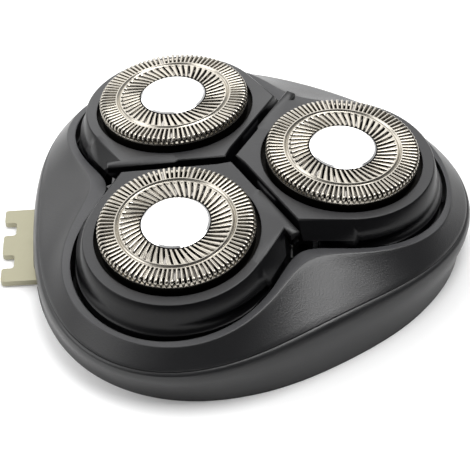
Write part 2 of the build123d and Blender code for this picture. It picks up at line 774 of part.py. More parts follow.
def main():
    """Build every piece and write it out."""
    os.makedirs("parts", exist_ok=True)
    save("housing", housing())
    save("base_frame", base_frame())
    save("frame_screws", frame_screws())
    save("pivot_pins", pivot_pins())
    save("hinge_plate", hinge_plate())
    save("hinge_pin", hinge_pin())
    head_pieces = {
        "carrier": carrier(),
        "guard": guard(),
        "centre_cap": centre_cap(),
        "cutter": cutter(),
        "drive_hub": drive_hub(),
        "retaining_ring": retaining_ring(),
    }
    for index in range(HEADS):
        for name, piece in head_pieces.items():
            save(f"{name}_{index + 1}", head_place(index) * piece)
        save(f"carrier_spring_{index + 1}", carrier_spring(index))


main()
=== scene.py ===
# %% [markdown]
# Rotary shaver head, dressed for a photograph.
# The CAD model gives every piece its size and place. This script adds what the eye needs:
# pressed and ground steel guards, black ABS with a fine spark-eroded grain, and soft light.
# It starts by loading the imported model, and everything after that is worked out from it.

# %% Load the frame
import json
import math

import bmesh
import bpy
from mathutils import Matrix, Vector


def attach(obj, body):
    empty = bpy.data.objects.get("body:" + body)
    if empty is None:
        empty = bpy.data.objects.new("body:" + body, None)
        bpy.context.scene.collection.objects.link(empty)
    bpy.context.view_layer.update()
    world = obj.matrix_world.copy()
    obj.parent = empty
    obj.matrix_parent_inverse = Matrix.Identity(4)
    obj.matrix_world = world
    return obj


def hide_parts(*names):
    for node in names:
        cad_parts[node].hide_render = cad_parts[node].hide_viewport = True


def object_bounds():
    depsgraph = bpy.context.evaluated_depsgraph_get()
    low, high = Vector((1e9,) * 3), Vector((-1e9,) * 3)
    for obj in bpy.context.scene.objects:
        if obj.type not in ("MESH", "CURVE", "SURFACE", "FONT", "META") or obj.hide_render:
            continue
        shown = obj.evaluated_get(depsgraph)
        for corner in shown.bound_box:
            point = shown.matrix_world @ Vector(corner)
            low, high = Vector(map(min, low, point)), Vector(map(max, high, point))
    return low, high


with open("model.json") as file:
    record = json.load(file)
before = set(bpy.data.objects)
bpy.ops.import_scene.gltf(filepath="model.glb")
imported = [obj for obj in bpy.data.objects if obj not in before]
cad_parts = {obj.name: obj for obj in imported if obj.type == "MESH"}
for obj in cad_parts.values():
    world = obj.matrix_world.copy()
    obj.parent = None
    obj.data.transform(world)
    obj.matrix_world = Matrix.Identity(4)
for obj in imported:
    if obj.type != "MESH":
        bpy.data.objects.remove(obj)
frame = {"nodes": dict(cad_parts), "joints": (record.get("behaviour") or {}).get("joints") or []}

CAD_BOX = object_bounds()
MM = 0.001
HEADS = 3

# %% [markdown]
# The camera stands in front of the head and looks down on it.
# Its place was solved from the outlines of the three guards, so every ellipse falls where it
# falls in the photograph. The lens is long, which keeps the three guards nearly alike in size.

# %% Camera
CAMERA_PLACE = Vector((0.009, -220.5, 208.3)) * MM
CAMERA_DOWN = math.radians(43.25)
CAMERA_ROLL = math.radians(3.12)
FOCAL_PX = 1831.4
PICTURE_PX = 470
SENSOR = 36.0
CLIP_NEAR = 0.01
CLIP_FAR = 10.0

camera_data = bpy.data.cameras.new("camera")
camera_data.sensor_width = SENSOR
camera_data.lens = FOCAL_PX * SENSOR / PICTURE_PX
camera_data.clip_start = CLIP_NEAR
camera_data.clip_end = CLIP_FAR
camera = bpy.data.objects.new("camera", camera_data)
bpy.context.scene.collection.objects.link(camera)
tilt = Matrix.Rotation(math.pi / 2 - CAMERA_DOWN, 4, "X")
roll = Matrix.Rotation(-CAMERA_ROLL, 4, "Z")
camera.matrix_world = Matrix.Translation(CAMERA_PLACE) @ tilt @ roll
bpy.context.scene.camera = camera
bpy.context.scene.view_settings.view_transform = "Standard"
print("lens:", round(camera_data.lens, 1), "mm")

# %% [markdown]
# Materials are built from nodes. One function adds a node with its settings and links, and
# another turns an sRGB hex colour, as a paint chart gives it, into the linear values that
# Blender works with; its numbers are those of the sRGB standard. Sizes of patterns are given
# in millimetres and turned into scales. Patterns read Object coordinates, which are metres on
# the piece itself, so they stay on it when it moves.

# %% Node and colour helpers
def linear(hex_colour):
    """Linear RGBA from an sRGB hex string."""
    values = [int(hex_colour[i : i + 2], 16) / 255 for i in (1, 3, 5)]
    return [v / 12.92 if v <= 0.04045 else ((v + 0.055) / 1.055) ** 2.4 for v in values] + [1.0]


def tints(hex_colour, shares):
    """Darker and lighter versions of a colour, in linear RGBA."""
    return [[min(1.0, v * share) for v in linear(hex_colour)[:3]] + [1.0] for share in shares]


def add_node(tree, kind, inputs=None, **settings):
    """A node with its settings; an input is a plain value or another node's output socket."""
    node = tree.nodes.new(kind)
    for name, value in settings.items():
        setattr(node, name, value)
    for name, value in (inputs or {}).items():
        if isinstance(value, bpy.types.NodeSocket):
            tree.links.new(value, node.inputs[name])
        else:
            node.inputs[name].default_value = value
    return node


def new_material(name, inputs):
    """A material with one Principled shader whose plain values are set on its own sockets."""
    material = bpy.data.materials.new(name)
    material.use_nodes = True
    tree = material.node_tree
    tree.nodes.clear()
    shader = add_node(tree, "ShaderNodeBsdfPrincipled", inputs)
    add_node(tree, "ShaderNodeOutputMaterial", {"Surface": shader.outputs["BSDF"]})
    return material, tree, shader


def per_metre(size_mm):
    """Scale of a noise pattern whose features are about that size on the object."""
    return 1 / (size_mm * MM)


print("mid grey in linear values:", [round(v, 3) for v in linear("#808080")])

# %% [markdown]
# The housing and the carriers are injection-moulded ABS. The mould is spark-eroded, which
# leaves a grain of about 0.1 mm that scatters highlights into a soft grey glow. It is drawn
# at about 0.26 mm, because the real one is too fine to show. A wider noise changes the
# roughness a little, as handling does. The lip of the opening is rougher, and its lighter grey
# is painted sheen, standing in for the bright room that it mirrors. Whatever on a carrier
# doesn't face up gets a blacker colour, lower roughness and less gloss than its face; the
# blacker colour and lower gloss are painted shade. The frame below is nylon, rings and hubs are
# acetal, which is a little waxy, and all three are nearly free of grain.

# %% Moulded plastics
PLASTIC_IOR = 1.54
NOISE_RANGE = (0.3, 0.7)
GRAIN_DETAIL = 3.0
GRAIN_SHARES = (0.8, 1.2)
WEAR_MM = 9.0
WEAR_DETAIL = 4.0
EDGE_SAMPLES = 6
FACE_UP = (0.93, 0.98)
PLAIN_GLOSS = 0.5

# A Mix node has its own sockets for each type; these are the ones for numbers and colours
FACTOR, NUMBER_A, NUMBER_B, COLOUR_A, COLOUR_B = 0, 2, 3, 6, 7
NUMBER_OUT, COLOUR_OUT = 0, 2


def moulded_plastic(
    name, colour, grain_mm, grain_height_mm, roughness, spread, side=None, edge_mm=0.2
):
    """Plastic from a spark-eroded mould, with edges rounded by a small radius. side holds
    the colour, roughness and gloss of what doesn't look up, where it is smoother; its darker
    colour and lower gloss there are painted shade."""
    material, tree, shader = new_material(name, {"IOR": PLASTIC_IOR})
    here = add_node(tree, "ShaderNodeTexCoord").outputs
    grain = add_node(
        tree,
        "ShaderNodeTexNoise",
        {"Vector": here["Object"], "Scale": per_metre(grain_mm), "Detail": GRAIN_DETAIL},
    )
    rounded = add_node(
        tree, "ShaderNodeBevel", {"Radius": edge_mm * MM}, samples=EDGE_SAMPLES
    )
    bump = add_node(
        tree,
        "ShaderNodeBump",
        {
            "Height": grain.outputs["Fac"],
            "Distance": grain_height_mm * MM,
            "Strength": 1.0,
            "Normal": rounded.outputs["Normal"],
        },
    )
    wear = add_node(
        tree,
        "ShaderNodeTexNoise",
        {"Vector": here["Object"], "Scale": per_metre(WEAR_MM), "Detail": WEAR_DETAIL},
    )
    rough = add_node(
        tree,
        "ShaderNodeMapRange",
        {"Value": wear.outputs["Fac"], "From Min": NOISE_RANGE[0], "From Max": NOISE_RANGE[1],
         "To Min": roughness - spread, "To Max": roughness + spread},
    )
    dark, light = tints(colour, GRAIN_SHARES)
    tint = add_node(
        tree,
        "ShaderNodeMix",
        {FACTOR: grain.outputs["Fac"], COLOUR_A: dark, COLOUR_B: light},
        data_type="RGBA",
    )
    colour_out, rough_out = tint.outputs[COLOUR_OUT], rough.outputs["Result"]
    # Faces that don't look up take the side's colour, roughness and gloss; the darker colour and
    # lower gloss are painted shade
    if side:
        shaded_side_colour, shaded_side_roughness, shaded_side_gloss = side
        facing = add_node(tree, "ShaderNodeSeparateXYZ", {"Vector": here["Normal"]})
        up = add_node(
            tree,
            "ShaderNodeMapRange",
            {"Value": facing.outputs["Z"], "From Min": FACE_UP[0], "From Max": FACE_UP[1]},
        ).outputs["Result"]
        painted = add_node(
            tree,
            "ShaderNodeMix",
            {FACTOR: up, COLOUR_A: linear(shaded_side_colour), COLOUR_B: colour_out},
            data_type="RGBA",
        )
        smooth = add_node(
            tree, "ShaderNodeMix", {FACTOR: up, NUMBER_A: shaded_side_roughness, NUMBER_B: rough_out}
        )
        gloss = add_node(
            tree, "ShaderNodeMix", {FACTOR: up, NUMBER_A: shaded_side_gloss, NUMBER_B: PLAIN_GLOSS}
        )
        tree.links.new(gloss.outputs[NUMBER_OUT], shader.inputs["Specular IOR Level"])
        colour_out, rough_out = painted.outputs[COLOUR_OUT], smooth.outputs[NUMBER_OUT]
    tree.links.new(colour_out, shader.inputs["Base Color"])
    tree.links.new(rough_out, shader.inputs["Roughness"])
    tree.links.new(bump.outputs["Normal"], shader.inputs["Normal"])
    return material


# Colour, roughness and gloss of a carrier's sides; the blacker colour and lower gloss are painted
# shade
CARRIER_SHADED_SIDE = ("#08080a", 0.3, 0.2)

# The numbers are the grain's width and height in millimetres, the roughness and its spread
abs_housing = moulded_plastic(
    "spark_eroded_black_abs", "#141416", 0.26, 0.026, 0.37, 0.04, edge_mm=0.1
)
# The lip: a rougher grain, and a lighter grey that is painted sheen
abs_lip_painted_sheen = moulded_plastic("coarse_eroded_abs_painted_sheen", "#3c3c3e", 0.26, 0.026, 0.55, 0.04)
abs_carrier = moulded_plastic(
    "satin_black_abs_painted_side_shade", "#202022", 0.25, 0.012, 0.4, 0.04, side=CARRIER_SHADED_SIDE
)
frame_plastic = moulded_plastic("black_nylon", "#1b1b1d", 0.25, 0.006, 0.5, 0.05)
ring_plastic = moulded_plastic("grey_acetal", "#6d6f73", 0.3, 0.003, 0.42, 0.04)
hub_plastic = moulded_plastic("natural_acetal", "#dfe0e2", 0.3, 0.002, 0.35, 0.04)
print("plastics:", abs_housing.name, abs_lip_painted_sheen.name, abs_carrier.name, frame_plastic.name)

# %% [markdown]
# The metals differ in how they were worked. Guards are pressed from stainless strip and then
# ground, so their faces carry fine scratches and small bright and dull patches. The side wall
# and flange of a guard and the dish under its cap are a rough, near-black steel, which is
# painted shade: it makes the moat round the guard and the recess under the cap dark. Caps are
# polished and mirror the white room. Cutters are ground, springs and the hinge pin are drawn,
# pivot pins are blackened, screws are zinc plated, and the hinge plate is satin nickel with a
# warm tone. Real scratches are a few hundredths of a millimetre wide. They are drawn 0.1 to
# 0.4 mm wide here, because finer ones wouldn't show.

# %% Metals
PATCH_MM = 1.5
PATCH_DETAIL = 5.0
PATCH_SHARES = (0.88, 1.08)
SCRATCH_DETAIL = 2.0


def worked_metal(name, colour, roughness, spread, scratch_mm, scratch_height_mm):
    """A metal whose roughness and fine scratches vary over the surface."""
    material, tree, shader = new_material(name, {"Metallic": 1.0})
    here = add_node(tree, "ShaderNodeTexCoord").outputs
    patch = add_node(
        tree,
        "ShaderNodeTexNoise",
        {"Vector": here["Object"], "Scale": per_metre(PATCH_MM), "Detail": PATCH_DETAIL},
    )
    rough = add_node(
        tree,
        "ShaderNodeMapRange",
        {"Value": patch.outputs["Fac"], "From Min": NOISE_RANGE[0], "From Max": NOISE_RANGE[1],
         "To Min": roughness - spread, "To Max": roughness + spread},
    )
    scratch = add_node(
        tree,
        "ShaderNodeTexNoise",
        {"Vector": here["Object"], "Scale": per_metre(scratch_mm), "Detail": SCRATCH_DETAIL},
    )
    bump = add_node(
        tree,
        "ShaderNodeBump",
        {"Height": scratch.outputs["Fac"], "Distance": scratch_height_mm * MM, "Strength": 1.0},
    )
    dark, light = tints(colour, PATCH_SHARES)
    tint = add_node(
        tree,
        "ShaderNodeMix",
        {FACTOR: patch.outputs["Fac"], COLOUR_A: dark, COLOUR_B: light},
        data_type="RGBA",
    )
    tree.links.new(tint.outputs[COLOUR_OUT], shader.inputs["Base Color"])
    tree.links.new(rough.outputs["Result"], shader.inputs["Roughness"])
    tree.links.new(bump.outputs["Normal"], shader.inputs["Normal"])
    return material


# The numbers are the roughness, its spread, and the scratches' width and height in millimetres
guard_steel = worked_metal("ground_stainless_steel", "#b2ada3", 0.22, 0.06, 0.1, 0.0006)
# Near-black steel for a guard's side wall, flange and cap dish: painted shade for the moat and
# the recess under the cap
shade_painted_steel = worked_metal("near_black_steel_painted_shade", "#1a1917", 0.6, 0.05, 0.3, 0.001)
cap_steel = worked_metal("polished_stainless_steel", "#f2f2f2", 0.12, 0.03, 0.4, 0.0004)
cutter_steel = worked_metal("ground_tool_steel", "#a9a5a0", 0.32, 0.05, 0.12, 0.001)
spring_steel = worked_metal("blank_spring_steel", "#8f8f92", 0.35, 0.05, 0.3, 0.001)
pin_steel = worked_metal("drawn_steel", "#a3a3a6", 0.3, 0.05, 0.3, 0.001)
pivot_steel = worked_metal("blackened_steel", "#1c1c1d", 0.45, 0.05, 0.3, 0.001)
screw_zinc = worked_metal("zinc_plated_steel", "#b2b4b8", 0.36, 0.06, 0.3, 0.001)
hinge_nickel = worked_metal("satin_nickel", "#96937f", 0.4, 0.05, 0.2, 0.002)
print("metals:", guard_steel.name, cap_steel.name, hinge_nickel.name)

# %% [markdown]
# Every node of the model keeps its shape here and takes the finish that fits its own kind.
# Guards, carriers and the housing get finer shapes further down, with the same finishes.

# %% Finishes of the CAD nodes
FINISHES = {
    "housing": abs_housing,
    "base_frame": frame_plastic,
    "frame_screws": screw_zinc,
    "pivot_pins": pivot_steel,
    "hinge_pin": pin_steel,
    "hinge_plate": hinge_nickel,
    "carrier": abs_carrier,
    "guard": guard_steel,
    "centre_cap": cap_steel,
    "cutter": cutter_steel,
    "drive_hub": hub_plastic,
    "retaining_ring": ring_plastic,
    "carrier_spring": spring_steel,
}


def finish_of(node):
    """The material of a node, with the number of its head left off the name."""
    kind = node.rstrip("0123456789").rstrip("_")
    return FINISHES[kind]


for node, piece in frame["nodes"].items():
    piece.data.materials.clear()
    piece.data.materials.append(finish_of(node))
print("finished nodes:", len(frame["nodes"]))

# %% [markdown]
# The three heads are alike, so a shape is made once, in millimetres, in the frame of one
# head: Z runs up the cutter's axis, X points away from the middle of the housing, and the
# origin lies on the guard's flat face. The joint of each cutter says where that frame is: its
# mark lies on the axis, a few millimetres below the face.

# %% The frame of one head
SPIN_MARK_MM = 4.0


def head_matrix(number):
    """Matrix from a head's own frame, in millimetres, to the row frame, in metres."""
    joint = next(j for j in frame["joints"] if j["name"] == f"cutter_{number}_spin")
    up = Vector(joint["axis"]).normalized()
    centre = Vector(joint["pos_m"]) + up * SPIN_MARK_MM * MM
    out = Vector((centre.x, centre.y, 0)).normalized()
    side = up.cross(out).normalized()
    out = side.cross(up)
    turn = Matrix((out, side, up)).transposed().to_4x4()
    return Matrix.Translation(centre) @ turn @ Matrix.Scale(MM, 4)


for number in range(1, HEADS + 1):
    print("head", number, "at", [round(v / MM, 2) for v in head_matrix(number).translation])

# %% [markdown]
# A guard is a cup pressed from thin stainless strip and slotted with a fine saw. Its face is
# ninety ribs round an outer track and forty-eight round an inner one. Each outer rib is
# rounded over by polishing and folds down over the edge of the cup, and each inner rib is
# dished, with a bead left along one side and round its outer end. Between ribs there are
# only rings. So two helpers are enough: one turns a ring from its outline, and one makes a
# short bar that follows a path.

# %% Turned rings and bars
TURN_STEPS = 144


def new_mesh(name, points, faces):
    """A mesh whose faces all point outwards."""
    mesh = bpy.data.meshes.new(name)
    mesh.from_pydata([tuple(p) for p in points], [], faces)
    shape = bmesh.new()
    shape.from_mesh(mesh)
    bmesh.ops.recalc_face_normals(shape, faces=shape.faces)
    shape.to_mesh(mesh)
    shape.free()
    return mesh


def turned(name, profile):
    """A closed ring of revolution about local Z from a closed outline of (radius, z)."""
    count = len(profile)
    points = []
    for i in range(TURN_STEPS):
        angle = 2 * math.pi * i / TURN_STEPS
        points += [(r * math.cos(angle), r * math.sin(angle), z) for r, z in profile]
    faces = []
    for i in range(TURN_STEPS):
        near, far = i * count, (i + 1) % TURN_STEPS * count
        for j in range(count):
            k = (j + 1) % count
            faces.append((near + j, near + k, far + k, far + j))
    return new_mesh(name, points, faces)


def bar(name, path, across, half_angle, drop, thickness, rake=0.0):
    """A closed bar along local +X. path holds (radius, z, lean) and across holds shares of
    the half width; drop gives how far the top lies below the path at a share and a station.
    rake is the angle between the bar and a radius."""
    points = []
    middle = (path[0][0] + path[-1][0]) / 2
    for place, (r, z, lean) in enumerate(path):
        first = len(points)
        up_r, up_z = math.sin(lean), math.cos(lean)
        for share in across:
            y = share * r * math.tan(half_angle(place))
            low = drop(share, place)
            points.append((r - up_r * low, y, z - up_z * low))
        for share in (across[-1], across[0]):
            y = share * r * math.tan(half_angle(place))
            points.append((r - up_r * thickness, y, z - up_z * thickness))
        swing = Matrix.Rotation(math.tan(rake) * math.log(r / middle), 3, "Z")
        points[first:] = [swing @ Vector(point) for point in points[first:]]
    count = len(across) + 2
    faces = []
    for i in range(len(path) - 1):
        for j in range(count):
            k = (j + 1) % count
            near, far = i * count, (i + 1) * count
            faces.append((near + j, near + k, far + k, far + j))
    faces.append(tuple(range(count)))
    faces.append(tuple((len(path) - 1) * count + j for j in range(count)))
    return new_mesh(name, points, faces)


print("a turned ring has", TURN_STEPS, "steps")

# %% [markdown]
# One rib is a mesh, and a Geometry Nodes tree sets copies of it round the axis. The tree
# makes a point for each copy, turns each copy by its own share of the full circle, and makes
# the copies real at the end, because an export leaves instances out.

# %% Geometry Nodes tree that sets one piece round the axis
def round_the_axis():
    """Tree: copies of the incoming piece, evenly round Z, with their material."""
    tree = bpy.data.node_groups.new("round_the_axis", "GeometryNodeTree")
    face = tree.interface
    face.new_socket("Geometry", in_out="INPUT", socket_type="NodeSocketGeometry")
    face.new_socket("Count", in_out="INPUT", socket_type="NodeSocketInt")
    face.new_socket("Start", in_out="INPUT", socket_type="NodeSocketFloat")
    face.new_socket("Material", in_out="INPUT", socket_type="NodeSocketMaterial")
    face.new_socket("Geometry", in_out="OUTPUT", socket_type="NodeSocketGeometry")
    given = add_node(tree, "NodeGroupInput").outputs
    points = add_node(tree, "GeometryNodePoints", {"Count": given["Count"]})
    step = add_node(
        tree, "ShaderNodeMath", {0: 2 * math.pi, 1: given["Count"]}, operation="DIVIDE"
    )
    index = add_node(tree, "GeometryNodeInputIndex")
    angle = add_node(
        tree,
        "ShaderNodeMath",
        {0: index.outputs[0], 1: step.outputs[0], 2: given["Start"]},
        operation="MULTIPLY_ADD",
    )
    about_z = add_node(tree, "ShaderNodeCombineXYZ", {"Z": angle.outputs[0]})
    turn = add_node(tree, "FunctionNodeEulerToRotation", {"Euler": about_z.outputs[0]})
    copies = add_node(
        tree,
        "GeometryNodeInstanceOnPoints",
        {
            "Points": points.outputs[0],
            "Instance": given["Geometry"],
            "Rotation": turn.outputs[0],
        },
    )
    real = add_node(tree, "GeometryNodeRealizeInstances", {"Geometry": copies.outputs[0]})
    finished = add_node(
        tree,
        "GeometryNodeSetMaterial",
        {"Geometry": real.outputs[0], "Material": given["Material"]},
    )
    add_node(tree, "NodeGroupOutput", {"Geometry": finished.outputs[0]})
    return tree


def run_tree(tree, mesh, values):
    """The plain mesh that a tree makes of a mesh, with its named inputs set."""
    piece = bpy.data.objects.new(mesh.name, mesh)
    bpy.context.scene.collection.objects.link(piece)
    modifier = piece.modifiers.new("tree", "NODES")
    modifier.node_group = tree
    for socket in tree.interface.items_tree:
        if socket.in_out == "INPUT" and socket.name in values:
            modifier[socket.identifier] = values[socket.name]
    ready = piece.evaluated_get(bpy.context.evaluated_depsgraph_get())
    result = bpy.data.meshes.new_from_object(ready)
    bpy.data.objects.remove(piece)
    return result


ring_tree = round_the_axis()
print("tree:", ring_tree.name, [i.name for i in ring_tree.interface.items_tree])

# %% [markdown]
# The outer rib is drawn flat on the track, then round the edge, then down the side of the
# cup. Its top is a low crown, which is what draws the bright line along each rib.
# All sizes are in millimetres.

# %% Outer rib
GUARD_R = 12.25
SHEET = 0.45
GROOVE_R = 9.07
GROOVE_HALF = 0.3
OUTER_SLOTS = 90
OUTER_SLOT_SHARE = 0.45
OUTER_START = GROOVE_R + GROOVE_HALF
NEAR_GROOVE = 0.3
NEAR_FOLD = 0.8
FOLD_IN = 0.62
FOLD_DOWN = 0.62
FOLD_STEPS = 6
RIB_END = 1.15
CROWN = 0.1
CROWN_POWER = 3
OUTER_ACROSS = (-1, -0.9, -0.6, -0.2, 0.2, 0.6, 0.9, 1)

flat_radii = (OUTER_START, OUTER_START + NEAR_GROOVE, GUARD_R - FOLD_IN - NEAR_FOLD)
outer_path = [(r, 0.0, 0.0) for r in flat_radii]
for step in range(FOLD_STEPS + 1):
    turn_down = math.pi / 2 * step / FOLD_STEPS
    outer_path.append(
        (
            GUARD_R - FOLD_IN * (1 - math.sin(turn_down)),
            -FOLD_DOWN * (1 - math.cos(turn_down)),
            turn_down,
        )
    )
outer_path.append((GUARD_R, -RIB_END, math.pi / 2))
outer_half = math.pi * (1 - OUTER_SLOT_SHARE) / OUTER_SLOTS
outer_rib = bar(
    "outer_rib",
    outer_path,
    OUTER_ACROSS,
    lambda place: outer_half,
    lambda share, place: CROWN * abs(share) ** CROWN_POWER,
    SHEET,
)
print("outer rib:", len(outer_rib.polygons), "faces")

# %% [markdown]
# The inner rib leans 19 degrees from the radius, as in the photograph. Its slot is about
# half of the pitch near the cap and narrows outwards. The bead stands a little above
# the dished top: it runs along one side and, from one of the path's stations on, right across
# the outer end.

# %% Inner rib
CAP_RECESS_R = 5.46
CAP_PLAY = 0.06
INNER_SLOTS = 48
INNER_SLOT_SHARES = (0.52, 0.31)
INNER_RAKE = math.radians(19)
INNER_START = CAP_RECESS_R + CAP_PLAY
INNER_END = GROOVE_R - GROOVE_HALF

# Stations of the path; the hollow runs up to the outer bead between the fifth and the sixth
INNER_RADII = (INNER_START, INNER_START + 0.25, 7.0, 8.2, 8.34, 8.42, INNER_END - 0.05, INNER_END)
INNER_ACROSS = (-1, -0.9, -0.62, -0.48, 0.1, 0.75, 1)
BEAD = 0.08
BEAD_SIDE = -0.5
BEAD_STATION = 5
EDGE_DROP = 0.05
EDGE_POWER = 6


def inner_half(place):
    """Half the angle of an inner rib, wider where the slot beside it is narrow."""
    along = (INNER_RADII[place] - INNER_START) / (INNER_END - INNER_START)
    share = INNER_SLOT_SHARES[0] + (INNER_SLOT_SHARES[1] - INNER_SLOT_SHARES[0]) * along
    return math.pi * (1 - share) / INNER_SLOTS


def dish(share, place):
    """Depth of an inner rib's top: a bead on one side and at the outer end, and a hollow."""
    hollow = 0.0 if share < BEAD_SIDE or place >= BEAD_STATION else BEAD
    return hollow + EDGE_DROP * abs(share) ** EDGE_POWER


inner_path = [(r, 0.0, 0.0) for r in INNER_RADII]
inner_rib = bar("inner_rib", inner_path, INNER_ACROSS, inner_half, dish, SHEET, INNER_RAKE)
print("inner rib:", len(inner_rib.polygons), "faces")

# %% [markdown]
# The rest of the cup is turned: the dish under the cap, the land with the groove between the
# tracks, the uncut band below the outer ribs, and the side wall with its flange. The wall is
# stepped in a little below the ribs, so the ends of the ribs stand out as a scalloped edge.
# Each outline is a list of (radius, z), and its short steps are the chamfers of the metal.
# The six middle points of the land draw the groove, which is rounder on its outer side.

# %% Turned parts of a guard
DISH_HOLE = 0.02
DISH_FLOOR = -0.5
DISH_RIM = -0.2
WALL_IN_R = 11.75
WALL_OUT_R = 12.1
FLANGE_R = 13.3
FLANGE_TOP = -3.5
FLANGE_FOOT = -4.05
FLANGE_CHAMFER = 0.05
BAND_TOP = -RIB_END + 0.1
BAND_FOOT = -1.45
BAND_CHAMFER = 0.08
GROOVE_DEPTH = 0.28
LAND_CHAMFER = 0.04
LAND_IN_R = INNER_END - 0.15
LAND_OUT_R = GROOVE_R + GROOVE_HALF + 0.17

# The dish and the side wall take the near-black steel, which is painted shade; the other parts
# are ground steel
shade_painted_rings = [
    turned("cap_dish", [
        (DISH_HOLE, DISH_FLOOR), (CAP_RECESS_R, DISH_FLOOR),
        (CAP_RECESS_R, DISH_RIM), (CAP_RECESS_R + SHEET, DISH_RIM),
        (CAP_RECESS_R + SHEET, DISH_FLOOR - SHEET), (DISH_HOLE, DISH_FLOOR - SHEET),
    ]),
    turned("side_wall", [
        (WALL_IN_R, BAND_FOOT), (WALL_OUT_R, BAND_FOOT), (WALL_OUT_R, FLANGE_TOP),
        (FLANGE_R - FLANGE_CHAMFER, FLANGE_TOP), (FLANGE_R, FLANGE_TOP - FLANGE_CHAMFER),
        (FLANGE_R, FLANGE_FOOT), (WALL_IN_R, FLANGE_FOOT),
    ]),
]
bright_parts = [
    turned("uncut_band", [
        (WALL_IN_R, BAND_TOP), (GUARD_R - 0.03, BAND_TOP), (GUARD_R, -RIB_END),
        (GUARD_R, BAND_FOOT + BAND_CHAMFER), (GUARD_R - BAND_CHAMFER, BAND_FOOT),
        (WALL_IN_R, BAND_FOOT),
    ]),
    turned("groove_land", [
        (LAND_IN_R, -SHEET), (LAND_IN_R, -LAND_CHAMFER),
        (LAND_IN_R + LAND_CHAMFER, 0.0), (INNER_END, 0.0),
        (GROOVE_R - 0.18, -0.17), (GROOVE_R, -GROOVE_DEPTH), (GROOVE_R + 0.12, -0.22),
        (GROOVE_R + 0.24, -0.05), (GROOVE_R + GROOVE_HALF, 0.0),
        (LAND_OUT_R - LAND_CHAMFER, 0.0), (LAND_OUT_R, -LAND_CHAMFER), (LAND_OUT_R, -SHEET),
    ]),
]
print("turned parts:", [ring.name for ring in shade_painted_rings + bright_parts])

# %% [markdown]
# The ribs are set round the axis, and all parts of a guard are joined into one object for
# each head. The mesh is built with its place in its points, so the object itself stays at
# the origin, as the CAD nodes do. The guard rides on its carrier and stands in for the
# plainer CAD guard.

# %% Guards
GUARD_ANGLE = math.radians(38)

for rib, slots in ((outer_rib, OUTER_SLOTS), (inner_rib, INNER_SLOTS)):
    values = {"Count": slots, "Start": math.pi / slots, "Material": guard_steel}
    bright_parts.append(run_tree(ring_tree, rib, values))


def placed(name, shape, materials, smooth_angle):
    """An object at the origin from a bmesh whose faces already hold their material's number."""
    mesh = bpy.data.meshes.new(name)
    for face in shape.faces:
        face.smooth = True
    shape.to_mesh(mesh)
    shape.free()
    for material in materials:
        mesh.materials.append(material)
    mesh.set_sharp_from_angle(angle=smooth_angle)
    piece = bpy.data.objects.new(name, mesh)
    bpy.context.scene.collection.objects.link(piece)
    return piece


def joined(name, groups, matrix):
    """One object from groups of meshes in a head's frame, each group with its material."""
    whole = bmesh.new()
    for place, (meshes, material) in enumerate(groups):
        for mesh in meshes:
            before = len(whole.faces)
            whole.from_mesh(mesh)
            whole.faces.ensure_lookup_table()
            for face in whole.faces[before:]:
                face.material_index = place
    whole.transform(matrix)
    return placed(name, whole, [material for meshes, material in groups], GUARD_ANGLE)


for number in range(1, HEADS + 1):
    # The dish and side wall get the near-black steel that paints the shade of the moat and the
    # recess
    groups = ((bright_parts, guard_steel), (shade_painted_rings, shade_painted_steel))
    guard = joined(f"slotted_guard_{number}", groups, head_matrix(number))
    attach(guard, f"carrier_{number}")
    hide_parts(f"guard_{number}")
    print(guard.name, len(guard.data.polygons), "faces")

# %% [markdown]
# The housing is one moulding whose outside follows a rule: each level is a three-lobed ring
# whose radius and height swing with the angle. CAD makes it as ruled bands. Here a fine skin
# by the same rule takes their place, with small radii at the crease and the rim, which catch
# thin bright lines, and the fine parting line of the mould below the crease, which draws a
# dark one. The skin is described by its rings first, from the foot up to the opening. The
# wall bulges a little between foot and crease, and most above its middle.

# %% Rings of the housing's skin
WALL_BULGE = 0.8
WALL_POWER = 2.4
WALL_ROWS = 14
SHOULDER_ROWS = 8
CREASE_LEVEL = 0.97
CREASE_LINE = 0.22
CREASE_RADIUS = 0.06
RIM_RADIUS = 0.3
ROUND_SHARES = (0, 1 / 3, 2 / 3, 1)
LIP_ROWS_OF_ROUND = 2
LIP_BEND = 0.6

# Tip radius, side radius, tip height, side height, squareness, third harmonic
FOOT = (36.89975, 32.99988, 0.0, 0.0, 0.0, 0.0)
CREASE = (37.95975, 31.41988, 6.86, 9.05, 0.05, 0.0)
RIM_OUTER = (35.29975, 22.87988, 9.45, 13.6, -1.09, 0.02)
RIM_INNER = (34.59975, 20.24988, 9.8, 13.05, -1.16, 0.18)


def blend(one, other, share):
    """The ring part way between two rings."""
    return tuple(a + (b - a) * share for a, b in zip(one, other))


def ring_place(ring, angle):
    """Radius and height of a ring at an angle."""
    tip_r, side_r, tip_z, side_z, square, third = ring
    once, twice, thrice = (math.cos(HEADS * k * angle) for k in (1, 2, 3))
    radius = (tip_r + side_r) / 2 - square + ((tip_r - side_r) / 2 - third) * once
    height = (tip_z + side_z) / 2 + (tip_z - side_z) / 2 * once
    return radius + square * twice + third * thrice, height


def wall_ring(level):
    """The ring of the outer wall at a share of its height."""
    tip_r, side_r, *rest = blend(FOOT, CREASE, level)
    swell = WALL_BULGE * math.sin(math.pi * level**WALL_POWER)
    return (tip_r + swell, side_r + swell, *rest)


def rounded_corner(before, corner, after, radius):
    """The rings of a small round between two bands, in place of their common ring."""
    ends = [
        blend(corner, ring, radius / math.dist(corner[:2], ring[:2])) for ring in (before, after)
    ]
    round_rings = []
    for share in ROUND_SHARES:
        first, last = blend(ends[0], corner, share), blend(corner, ends[1], share)
        round_rings.append(blend(first, last, share))
    return round_rings


